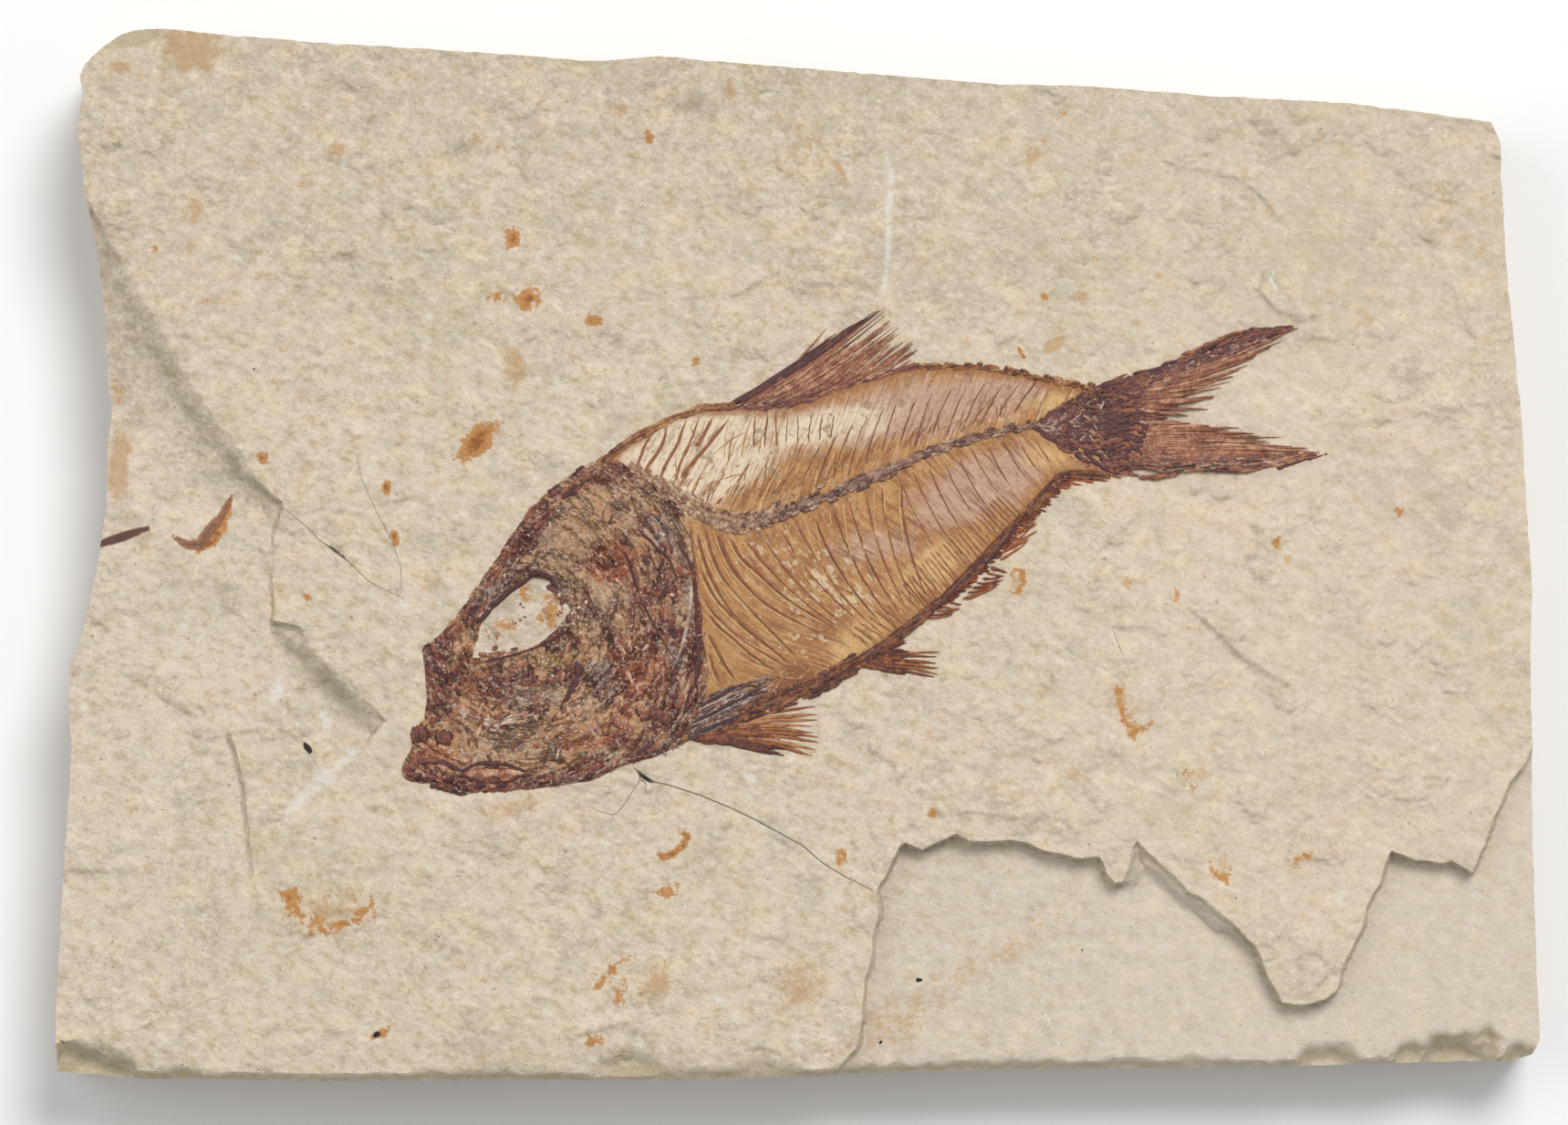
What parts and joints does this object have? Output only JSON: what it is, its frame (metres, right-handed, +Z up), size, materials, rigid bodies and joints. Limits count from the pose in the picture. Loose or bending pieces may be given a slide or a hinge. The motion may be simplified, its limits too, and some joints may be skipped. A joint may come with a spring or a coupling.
{
  "type": "fossil fish slab",
  "caption": "Pale limestone slab, lying flat, with a flattened fossil fish in low relief on its upper face, ledges of split bedding and a flat underside.",
  "frame": {"origin": "middle of the bounding box in X and Y, on the flat underside", "axes": "+X along the slab's long side from the fish's head to its tail, +Y towards the fish's back, +Z up out of the fossil face"},
  "size_m": [0.1143, 0.081, 0.0113],
  "materials": {
    "limestone": "dry split limestone, matt and fine-grained",
    "fossil_bone": "brown fossil bone, satin in places"
  },
  "bodies": {
    "root": {"slab": "limestone", "fish": "fossil_bone"}
  },
  "joints": []
}
